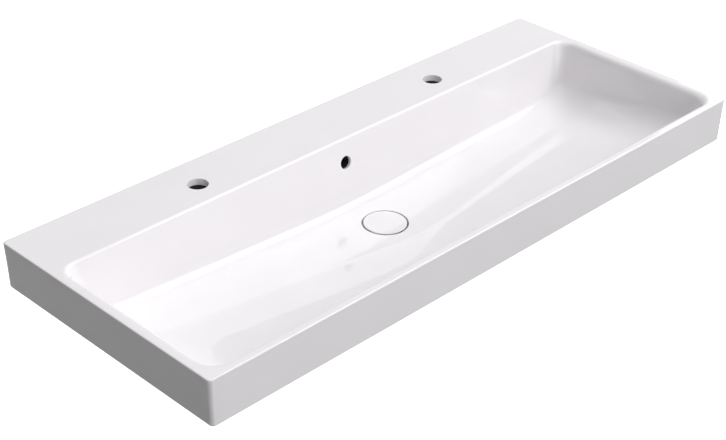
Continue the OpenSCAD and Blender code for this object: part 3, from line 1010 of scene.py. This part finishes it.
    def bowl_rows(self) -> list[Array]:
        """The bowl's rows.

        Returns:
            Rows from the drain hole's edge over the recess, floor, wall and rounded edge to the deck.
        """
        radius, hole, lip, edge = self.recess / 2, self.drain_hole / 2, self.recess_lip, self.hole_edge
        seat, walls = self.floor - self.recess_depth, self.walls(0.0)
        outside = self.on_floor(self.ring(radius + lip))
        bottom = np.concatenate([eased((hole, seat), (0.0, -edge), (edge, 0.0)), [[radius - self.seat_border, seat]],
                                 eased((radius, seat), (-lip, 0.0), (0.0, lip))])
        under_lip, corner = (self.level(self.ring(radius), outside[:, 2] - drop) for drop in (lip, 0.0))
        shoulder = self.up_wall(walls["foot"], walls["rim"], self.rim_height - self.by_side(
            self.side_edge_round, self.edge_round, self.edge_round))
        over = replace(self.bowl_outline(self.edge_round), half_width=self.half_bowl + self.side_edge_round)
        return [self.rings(bottom), curve_rows(under_lip, corner, outside, even(self.lip_steps)),
                self.floor_rows(outside[:, :2], walls["floor"][:, :2]),
                curve_rows(walls["floor"], walls["foot"], walls["wall"], even(self.blend_steps)[1:]),
                straight_rows(walls["wall"], shoulder, self.wall_rows),
                curve_rows(shoulder, walls["rim"], self.level(self.columns.row(over), self.rim_height),
                           even(self.edge_steps))]

    def outer_rows(self, lip_row: Array) -> list[Array]:
        """The rows outside the bowl.

        Args:
            lip_row: the row at which the bowl's rounded edge meets the deck.

        Returns:
            Rows over the deck and rims, round the top edge, down the skirt and round its foot.
        """
        def upper(inset: float, height: float) -> Array:
            """The outer edge drawn in evenly with its corners' radius, lifted to a height."""
            outline = self.outer_outline(inset, inset, inset, inset)
            return self.level(self.columns.row(outline, past_corners=True), height)

        def lower(inset: float, height: float) -> Array:
            """The foot's outer edge, inside the upper edge by the drafts and drawn in further, at a height."""
            outline = self.outer_outline(self.draft + inset, inset, 0.0, self.front_draft + inset)
            return self.level(self.columns.row(outline, past_corners=True), self.foot + height)

        edge, foot, skirt, top = self.rim_edge, self.skirt_foot, self.skirt, self.rim_height
        crest, shoulder, low = upper(edge, top), upper(0.0, top - edge), lower(0.0, foot)
        bend = even(self.rim_steps)
        return [straight_rows(lip_row, crest, self.deck_rows),
                curve_rows(crest, upper(0.0, top), shoulder, bend),
                straight_rows(shoulder, low, self.skirt_rows),
                curve_rows(low, lower(0.0, 0.0), lower(foot, 0.0), bend),
                curve_rows(lower(skirt - foot, 0.0), lower(skirt, 0.0), lower(skirt, foot), bend)]

    def slot_top(self, rim: float, lean: float, rise: float) -> float:
        """Height at which the space between the skirt and a leaning wall has narrowed to the slot.

        Args:
            rim: width of the rim over that wall.
            lean: how far the wall leans in from rim to foot.
            rise: how far its foot lies over the floor beside the drain.

        Returns:
            The height.
        """
        drop = self.bowl_depth + self.wall - rise
        return self.rim_height - (self.slot + self.wall + self.skirt - rim) / lean * drop

    def under_rows(self) -> list[Array]:
        """The hidden rows.

        Where the skirt and the wall come together, at the front and the sides, the space between them ends at
        the height at which a narrow slot is left.

        Returns:
            Rows up inside the skirt, under the deck, down the bowl's outside, round the boss and into the hole.
        """
        walls, steps = self.walls(self.wall), even(self.bend_steps)
        top = self.by_side(self.slot_top(self.side_rim, self.side_lean, self.end_rise),
                           self.slot_top(self.front_rim, self.front_lean, self.front_rise),
                           self.rim_height - self.deck)
        inner = self.outer_outline(self.skirt, self.skirt, 0.0, self.skirt)
        skirt = self.level(self.columns.row(inner, past_corners=True), top)
        shell = self.up_wall(walls["foot"], walls["rim"], top)
        gap = np.linalg.norm(shell - skirt, axis=-1, keepdims=True)
        bend = np.clip(self.under_bend_share * gap, *self.under_bend)
        down, way = bend * (0.0, 0.0, 1.0), (shell - skirt) / gap * bend
        low = shell - down
        low[:, :2] = self.up_wall(walls["foot"], walls["rim"], low[:, 2])[:, :2]

        radius, foot, hole = self.recess / 2 + self.boss_wall, self.boss_foot, self.drain_hole / 2
        belly = self.on_floor(self.ring(radius + self.boss_round), self.wall)
        corner, boss = (self.level(self.ring(radius), belly[:, 2] - drop) for drop in (0.0, self.boss_round))
        blend_steps, belly_steps = self.outside_steps
        under = straight_rows(walls["floor"][:, :2], belly[:, :2], even(belly_steps)[1:-1])
        return [curve_rows(skirt - down, skirt, skirt + way, steps), curve_rows(shell - way, shell, low, steps),
                straight_rows(low, walls["wall"], self.outside_rows),
                curve_rows(walls["wall"], walls["foot"], walls["floor"], even(blend_steps)),
                np.stack([self.on_floor(row, self.wall) for row in under]), curve_rows(belly, corner, boss, steps),
                self.rings(np.concatenate([
                    eased((radius, foot), (0.0, self.boss_edge), (-self.boss_edge, 0.0)),
                    [[hole + self.hole_edge, foot], [hole, foot + self.hole_edge]]]))]

    def duct_outline(self, grow: float) -> Array:
        """The overflow duct's outline: down behind the bowl, round a bend and forward to the drain.

        Args:
            grow: zero for the hollow, or the wall's thickness for its outside, which leans with the bowl.

        Returns:
            y and z of each point.
        """
        back, front = self.wall + self.duct_depth - self.deck_depth, self.wall - self.deck_depth - grow
        low, high = self.duct_top - self.duct_run, self.duct_top + grow
        top = self.rim_height - (self.deck / 2 if grow else self.overflow_drop - self.overflow / 2)
        lean = self.back_lean if grow else 0.0
        bend = arc((back - self.duct_bend, low + self.duct_bend), self.duct_bend + grow, -90.0, 0.0, self.duct_steps)
        return np.concatenate([[[-self.drain_setback, low - grow]], bend, [
            [back + grow, top], [front, top], [front - lean, high], [-self.drain_setback, high]]])

    def additions(self) -> list[bpy.types.Object]:
        """Makes the webs and fixing pads inside the back wall, and the wall round the overflow duct.

        They end in the middle of the walls that they grow from.

        Returns:
            Closed meshes to add.
        """
        top = self.rim_height - self.deck / 2
        foot_y = -self.deck_depth + self.wall / 2 - self.back_lean * self.skirt_height / self.bowl_depth
        web = np.array([[foot_y, self.foot], [-self.skirt / 2, self.foot], [-self.skirt / 2, top],
                        [self.wall / 2 - self.deck_depth, top]])
        made = [prism("web", web, side * gap / 2 - self.web / 2, side * gap / 2 + self.web / 2)
                for gap in self.web_gaps for side in (-1, 1)]
        radius, reach, edge = self.fixing_pad / 2, self.skirt / 2 + self.fixing_pad_height, self.pad_edge
        pad = np.array([[radius, 0.0], [radius, reach - edge], [radius - edge, reach]])
        made += [turned("pad", pad, (side * self.fixing_gap / 2, -self.skirt / 2, 0.0), Vector((0, -1, 0)))
                 for side in (-1, 1)]
        half = self.duct_width / 2 + self.duct_wall
        wall = prism("duct_wall", self.duct_outline(self.duct_wall), -half, half)
        # The webs and pads take the near-black unglazed clay: painted shade under the deck.
        return [*(paint(piece, Side.RAW) for piece in made), paint(wall, Side.BISCUIT)]

    def cuts(self) -> list[bpy.types.Object]:
        """Makes the tap holes with their soft lips, the fixing holes and the overflow duct's hollow.

        Returns:
            Closed meshes to cut.
        """
        radius, lip, top = self.tap_hole / 2, self.tap_lip, self.rim_height
        tap = np.concatenate([[[radius, top - self.deck - self.past]],
                              arc((radius + lip, top - lip), lip, 180.0, 90.0),
                              [[radius + lip, top + self.past]]])
        made = [paint(turned("tap_hole", tap, (side * self.tap_gap / 2, -self.tap_setback, 0.0)), Side.GLAZED)
                for side in (-1, 1)]
        fixing = np.array([[self.fixing_hole / 2, -self.past],
                           [self.fixing_hole / 2, self.skirt + self.fixing_pad_height + self.past]])
        made += [paint(turned("fixing_hole", fixing, (side * self.fixing_gap / 2, 0.0, 0.0), Vector((0, -1, 0))),
                       Side.BISCUIT) for side in (-1, 1)]
        half = self.duct_width / 2
        # The duct's hollow takes the near-black clay: painted shade inside the duct.
        return made + [paint(prism("duct", self.duct_outline(0.0), -half, half), Side.DUCT_SHADE)]

    def overflow_cut(self) -> bpy.types.Object:
        """Makes the overflow hole, square to the leaning back wall, with a soft lip and glazed near its edge.

        At the hole's height the wall lies in front of the rim's edge by back_lean / bowl_depth of the drop. The
        first round of faces, which lies past the glaze, takes the duct's near-black clay, a painted shade.

        Returns:
            A closed mesh to cut.
        """
        lean = self.back_lean / self.bowl_depth
        centre = (0.0, -self.deck_depth - lean * self.overflow_drop, self.rim_height - self.overflow_drop)
        radius, lip = self.overflow / 2, self.overflow_lip
        end = self.wall + lean * self.overflow_drop + self.duct_depth / 2
        profile = np.concatenate([[[radius, -end], [radius, -self.overflow_glaze]],
                                  arc((radius + lip, -lip), lip, 180.0, 90.0), [[radius + lip, self.past]]])
        piece = turned("overflow", profile, centre, Vector((0.0, -1.0, lean)))
        # The faces past the glaze are painted near black as shade inside the hole.
        inside = np.arange(len(piece.data.polygons)) < len(piece.data.polygons) // (len(profile) - 1)
        return paint(piece, np.where(inside, Side.DUCT_SHADE.value, Side.GLAZED.value))

    def build(self) -> bpy.types.Object:
        """Makes the whole casting as one closed mesh.

        Returns:
            The object, with its faces in the slots of their sides.
        """
        bowl, under = self.bowl_rows(), self.under_rows()
        outer = self.outer_rows(bowl[-1][-1])
        parts = [*bowl, *outer, *under]
        rows = np.concatenate(parts)[::-1]
        quads = grid_quads(len(rows), rows.shape[1], close_rows=True)
        piece = new_piece("ceramic_basin", rows.reshape(-1, 3), quads)
        sides = np.full(len(parts), Side.BISCUIT.value)
        inside = len(bowl) + len(outer)
        # The rows up inside the skirt and under the deck take the near-black unglazed clay: painted shade.
        sides[:inside - 1], sides[inside:inside + 2] = Side.GLAZED.value, Side.RAW.value
        paint(piece, np.repeat(np.repeat(sides, [len(part) for part in parts])[::-1], rows.shape[1]))
        combine(piece, self.additions(), Join.ADD)
        combine(piece, [*self.cuts(), self.overflow_cut()], Join.CUT)
        piece.data.polygons.foreach_set("use_smooth", np.ones(len(piece.data.polygons), bool))
        sharpen(piece)
        even_shading(piece)
        return piece

    def dress(self, piece: bpy.types.Object, finishes: dict[Side, bpy.types.Material]) -> None:
        """Fills the slots, and leaves the face against the wall unglazed.

        Args:
            piece: the basin.
            finishes: the material of each kind of side.
        """
        for side in Side:
            piece.data.materials[side.value] = finishes[side]
        count = len(piece.data.polygons)
        centre, normal, slots = np.empty(count * 3), np.empty(count * 3), np.empty(count, np.int32)
        piece.data.polygons.foreach_get("center", centre)
        piece.data.polygons.foreach_get("normal", normal)
        piece.data.polygons.foreach_get("material_index", slots)
        back = (centre[1::3] > -self.near_wall * MM) & (normal[1::3] > self.facing_wall)
        piece.data.polygons.foreach_set("material_index", np.where(back, Side.BISCUIT.value, slots))


# The waste


@dataclass
class DrainCap:
    """The ceramic cap: a nearly flat disc with a soft edge, an underside that draws in, and the carrier's pocket."""

    diameter: float = 74.0
    thickness: float = 8.0
    crown: float = 0.2
    edge: float = 1.1
    side: float = 0.4
    draw_in: float = 4.5
    pocket: float = 58.1
    pocket_top: float = -67.1
    top: float = -61.0
    centre: tuple[float, float, float] = (0.0, -223.0, 0.0)

    # Small edges, and how finely the profile is divided.
    pocket_edge: float = 0.3
    foot_edge: tuple[float, float] = (0.6, 0.5)
    side_edge: float = 0.1
    end_face: float = 0.5
    dome_rows: int = 20
    dome_end: float = 0.02
    steps: int = 192

    def build(self) -> bpy.types.Object:
        """Turns the cap; its crown stands over the edge by crown (1 - (r / flat)^2).

        Returns:
            The object, whose profile runs from the pocket's middle round the underside to the crown.
        """
        radius, pocket, edge = self.diameter / 2, self.pocket / 2, self.pocket_edge
        low, side = self.top - self.thickness, self.top - self.edge - self.side
        flat, foot = radius - self.edge, radius - self.draw_in
        share = np.linspace(1.0, self.dome_end, self.dome_rows)
        dome = np.column_stack([flat * share, self.top + self.crown * (1 - share ** 2)])
        profile = np.concatenate([
            [[self.end_face, self.pocket_top], [pocket - edge, self.pocket_top], [pocket, self.pocket_top - edge],
             [pocket, low + edge], [pocket + edge, low],
             [foot - self.foot_edge[0], low], [foot, low + self.foot_edge[1]],
             [radius - self.side_edge, side - self.side_edge], [radius, side]],
            arc((flat, self.top - self.edge), self.edge, 0.0, 90.0), dome[1:]])
        piece = turned("ceramic_cap", profile, self.centre, steps=self.steps)
        sharpen(piece)
        even_shading(piece)
        return piece


@dataclass(frozen=True)
class Thread:
    """An outside pipe thread."""

    radius: float
    pitch: float
    depth: float
    same: float = 0.01

    def cut(self, angle: Array, radius: Array, height: Array, ends: tuple[float, float]) -> Array:
        """Cuts the turns: radius - depth f (1 - cos(2 pi height / pitch - angle)) / 2.

        Here f fades from one to zero over a pitch at both ends, and is zero where the radius isn't the thread's.

        Args:
            angle: each point's angle.
            radius: its radius before.
            height: its height.
            ends: the threaded stretch's lower and upper end.

        Returns:
            Each point's radius.
        """
        wave = (1.0 - np.cos(FULL_TURN * height / self.pitch - angle)) / 2.0
        low, high = (np.clip(run / self.pitch, 0.0, 1.0) for run in (height - ends[0], ends[1] - height))
        return radius - (np.abs(radius - self.radius) < self.same) * (low * high) * self.depth * wave


@dataclass
class OutletBell:
    """The waste's lower half: rim, chamfered hexagon and shoulder, and the outlet thread for the trap."""

    rim: float = 60.0
    rim_thickness: float = 3.0
    flats: float = 52.0
    thread: Thread = Thread(radius=20.955, pitch=2.309, depth=1.2)
    bore: float = 18.555
    socket: float = 21.005
    top: float = -113.0
    seat: float = -124.9
    shoulder: float = -129.9
    shoulder_thickness: float = 5.0
    foot: float = -159.9
    centre: tuple[float, float, float] = (0.0, -223.0, 0.0)

    # Small edges, and how finely the profile is divided.
    edge: float = 0.5
    bore_edge: float = 0.4
    thread_lead: tuple[float, float] = (0.8, 0.6)
    thread_end: float = 0.1
    thread_rows: int = 200
    chamfer_start: tuple[float, float] = (0.4, 0.1)
    chamfer_height: float = 1.6
    chamfer_rows: int = 8
    shoulder_edge: tuple[float, float] = (0.2, 0.05)
    rim_step: float = 0.1
    hair: float = 0.02
    past_socket: float = 1.0
    steps: int = 144

    @property
    def flats_range(self) -> tuple[float, float]:
        """Heights between which the hexagon stands."""
        return self.shoulder + self.shoulder_thickness / 2, self.top - self.rim_thickness

    def hexagon(self, angle: Array, radius: Array, height: Array) -> Array:
        """Turns the round profile into the hexagon where it stands, and cuts the thread elsewhere.

        A flat lies at flats / 2 / cos(a), with a within 30 degrees of its middle. The profile stays where it is
        closer in, so the hexagon's corners are chamfered above and below.

        Args:
            angle: each point's angle.
            radius: its radius on the profile.
            height: its height.

        Returns:
            Each point's radius.
        """
        low, high = self.flats_range
        sixth = FULL_TURN / 6.0
        flat = self.flats / 2.0 / np.cos((angle + 0.5 * sixth) % sixth - 0.5 * sixth)
        on_hexagon = (height > low) & (height < high) & (radius > self.socket + self.past_socket)
        threaded = self.thread.cut(angle, radius, height, (self.foot, self.shoulder))
        return np.where(on_hexagon, np.minimum(radius, flat), threaded)

    def build(self) -> bpy.types.Object:
        """Turns the bell's closed profile, up its outside and down its bore, and shapes it to the hexagon.

        Returns:
            The object.
        """
        (low, high), out, flat, rim = self.flats_range, self.thread.radius, self.flats / 2, self.rim / 2
        edge, foot, count = self.edge, self.foot, self.chamfer_rows
        tail = np.linspace(foot + self.thread_lead[1], self.shoulder - self.thread_end, self.thread_rows)
        chamfer = np.column_stack([np.linspace(flat + self.chamfer_start[0], flat / math.cos(math.pi / 6), count),
                                   np.linspace(self.chamfer_start[1], self.chamfer_height, count)])
        profile = np.concatenate([
            [[self.bore + self.bore_edge, foot], [out - self.thread_lead[0], foot]],
            np.column_stack([np.full(self.thread_rows, out), tail]),
            [[out + self.hair, self.shoulder], [flat, low],
             [flat + self.shoulder_edge[0], low + self.shoulder_edge[1]]],
            chamfer + (0.0, low), chamfer[::-1] * (1.0, -1.0) + (0.0, high),
            [[flat + self.rim_step, high - self.hair], [rim - edge, high], [rim, high + edge],
             [rim, self.top - edge], [rim - edge, self.top], [self.socket + edge, self.top],
             [self.socket, self.top - edge], [self.socket, self.seat], [self.bore, self.seat],
             [self.bore, foot + self.bore_edge]]])
        piece = turned("outlet_bell_chromed", profile, self.centre, steps=self.steps, closed=True, swell=self.hexagon)
        sharpen(piece, degrees=30.0)
        return piece


# The studio


@dataclass(frozen=True)
class Lamp:
    """A square soft lamp at a distance from the basin's middle, seen from it at an azimuth and elevation."""

    name: str
    azimuth: float
    elevation: float
    power: float
    size: float = 5.0
    distance: float = 8.0

    def hang(self, middle: Vector) -> None:
        """Places the lamp and turns it to the middle.

        Args:
            middle: the point that it lights.
        """
        across, up = math.radians(self.azimuth), math.radians(self.elevation)
        way = Vector((math.sin(across) * math.cos(up), -math.cos(across) * math.cos(up), math.sin(up)))
        light = bpy.data.lights.new(self.name, "AREA")
        light.shape, light.size, light.energy = "SQUARE", self.size, self.power
        holder = bpy.data.objects.new(self.name, light)
        holder.location = middle + way * self.distance
        holder.rotation_euler = (-way).to_track_quat("-Z", "Y").to_euler()
        holder.visible_camera = False
        bpy.context.scene.collection.objects.link(holder)


@dataclass
class Studio:
    """A pale floor, soft lamps and the camera at the photograph's place."""

    camera_place: tuple[float, float, float] = (-1.6736, -1.81263, 1.34788)
    right: tuple[float, float, float] = (0.70725, -0.70678, 0.01626)
    down: tuple[float, float, float] = (-0.35788, -0.37776, -0.85394)
    forward: tuple[float, float, float] = (0.60969, 0.59813, -0.52011)
    lens: float = 79.641
    sensor: float = 36.0
    clip: tuple[float, float] = (0.05, 60.0)
    middle: tuple[float, float, float] = (0.0, -0.24, 0.0)
    lamps: tuple[Lamp, ...] = (
        Lamp("overhead", azimuth=0.0, elevation=90.0, power=139.0, size=8.0),
        Lamp("front", azimuth=20.0, elevation=45.0, power=155.0),
        Lamp("front_middle", azimuth=0.0, elevation=33.0, power=80.0),
        Lamp("front_low", azimuth=-16.0, elevation=8.0, power=132.0),
        Lamp("key", azimuth=50.0, elevation=45.0, power=90.0, size=2.3),
        Lamp("right", azimuth=90.0, elevation=45.0, power=182.0),
        Lamp("right_back", azimuth=100.0, elevation=33.0, power=105.0),
        Lamp("back", azimuth=180.0, elevation=33.0, power=77.0),
        Lamp("below", azimuth=0.0, elevation=-90.0, power=1.5, size=0.44, distance=0.72))
    world_level: float = 0.21
    world_gloss: float = 0.3
    floor_height: float = -0.792
    floor_half: float = 5.0
    floor_tone: float = 0.9
    floor_bounce: float = 0.045
    floor_roughness: float = 0.9
    floor_glow: float = 0.5
    glow_reach: tuple[float, float] = (0.7, 2.6)

    def camera(self) -> None:
        """Places the camera: its axes are right, up and backwards, solved from the photograph's corners and edges."""
        made = bpy.data.cameras.new("camera")
        made.lens, made.sensor_width = self.lens, self.sensor
        made.clip_start, made.clip_end = self.clip
        holder = bpy.data.objects.new("camera", made)
        turn = Matrix([self.right, [-v for v in self.down], [-v for v in self.forward]]).transposed()
        holder.matrix_world = Matrix.Translation(self.camera_place) @ turn.to_4x4()
        bpy.context.scene.collection.objects.link(holder)
        bpy.context.scene.camera = holder

    def lights(self) -> None:
        """Hangs the soft lamps."""
        for lamp in self.lamps:
            lamp.hang(Vector(self.middle))

    def world(self) -> None:
        """Makes a world that is white to the camera, darker in gloss, and lights the basin with a low even level."""
        world = bpy.data.worlds.new("studio")
        world.use_nodes = True
        nodes = Nodes(world.node_tree)
        camera, gloss = nodes.rays()
        strength = camera * (1.0 - self.world_level) + gloss * (self.world_gloss - self.world_level) + self.world_level
        sky = nodes.node("ShaderNodeBackground", {}, {"Color": grey(1.0), "Strength": strength})
        nodes.node("ShaderNodeOutputWorld", {}, {"Surface": sky.outputs[0]})
        bpy.context.scene.world = world

    def floor(self) -> None:
        """Makes a plain floor, pale to the camera, that throws little light back and is open from below.

        Towards the camera it glows by floor_glow under the basin and fully from the far end of glow_reach on.
        """
        half, height = self.floor_half / MM, self.floor_height / MM
        corners = np.array([[x * half, y * half, height] for x, y in ((-1, -1), (1, -1), (1, 1), (-1, 1))])
        piece = new_piece("studio_floor", corners, np.array([[0, 1, 2, 3]]))
        recipe = Recipe("studio_floor")
        camera, gloss = recipe.rays()
        away = (recipe.axis(0) * recipe.axis(0) + recipe.axis(1) * recipe.axis(1)).math("SQRT")
        glow = away.step(*self.glow_reach) * (1.0 - self.floor_glow) + self.floor_glow
        under = Value(recipe, recipe.node("ShaderNodeNewGeometry", {}, {}).outputs["Backfacing"])
        piece.data.materials.append(recipe.surface(
            Base_Color=recipe.blend(camera + gloss, grey(self.floor_bounce), grey(self.floor_tone)),
            Roughness=self.floor_roughness, Emission_Color=recipe.blend(camera * glow, grey(0.0), grey(1.0)),
            Emission_Strength=1.0, Alpha=1.0 - under))

    def build(self) -> None:
        """Sets up the camera, the lamps, the world and the floor."""
        bpy.context.scene.view_settings.view_transform = "Standard"
        self.camera()
        self.lights()
        self.world()
        self.floor()


@dataclass
class Fittings:
    """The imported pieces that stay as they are, each with the name of its finish."""

    nodes: dict[str, str] = field(default_factory=lambda: {
        "cap_carrier": "chromed_brass", "cap_seal": "black_rubber", "plunger": "brass",
        "latch_rotor": "grey_nylon", "click_spring": "spring_steel", "cartridge_body": "white_nylon",
        "cartridge_collar": "white_nylon", "plunger_o_ring": "black_rubber", "waste_barrel": "chromed_brass",
        "flange_gasket": "black_rubber", "lower_gasket": "black_rubber", "slip_washer": "white_nylon"})

    def dress(self, finishes: dict[str, bpy.types.Material]) -> None:
        """Gives each piece its finish and reports it.

        Args:
            finishes: every finish by name.
        """
        for name, finish in self.nodes.items():
            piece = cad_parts[name]
            for slot in piece.material_slots:
                slot.material = finishes[finish]
            LOG.info("%s: %s, %d slots", name, finish, len(piece.material_slots))


def finishes() -> dict[str, bpy.types.Material]:
    """Makes every finish.

    Returns:
        The materials by name.
    """
    # The two near-black clays are painted shade for the inside of the skirt and of the duct; their unglazed finish is
    # real.
    made = {"white_glaze": Glaze(), "cap_glaze": Glaze("cap_glaze", white=0.84), "biscuit": Biscuit(),
            "under_clay_painted_shade": Biscuit("under_clay_painted_shade", tone=0.09), "duct_clay_painted_shade": Biscuit("duct_clay_painted_shade", tone=0.03),
            "chromed_brass": Chrome(), "brass": Brass(), "spring_steel": SpringWire(), "black_rubber": Rubber(),
            "white_nylon": Nylon("white_nylon", tone=0.8, warmth=0.02), "grey_nylon": Nylon("grey_nylon", tone=0.2)}
    return {name: finish.material() for name, finish in made.items()}


def seat(piece: bpy.types.Object, node: str, body: str, slot: str) -> None:
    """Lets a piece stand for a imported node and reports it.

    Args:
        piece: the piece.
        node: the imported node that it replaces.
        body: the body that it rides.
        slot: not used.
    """
    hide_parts(node)
    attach(piece, body)
    LOG.info("%s: %d faces on %s", piece.name, len(piece.data.polygons), body)


def main() -> None:
    """Builds and dresses the washbasin and sets up the studio."""
    logging.basicConfig(level=logging.INFO, format="%(name)s %(message)s")
    Studio().build()
    finish = finishes()

    basin = Basin()
    casting = basin.build()
    # The inside of the skirt and of the duct get near-black clay as painted shade.
    basin.dress(casting, {Side.GLAZED: finish["white_glaze"], Side.BISCUIT: finish["biscuit"],
                          Side.RAW: finish["under_clay_painted_shade"], Side.DUCT_SHADE: finish["duct_clay_painted_shade"]})
    seat(casting, "basin", "fixture", "white_glaze")

    cap = DrainCap().build()
    cap.data.materials.append(finish["cap_glaze"])
    seat(cap, "drain_cap", "cap", "white_glaze")

    bell = OutletBell().build()
    bell.data.materials.append(finish["chromed_brass"])
    seat(bell, "outlet_bell", "fixture", "chromed_brass")

    Fittings().dress(finish)


if __name__ == "__main__":
    main()
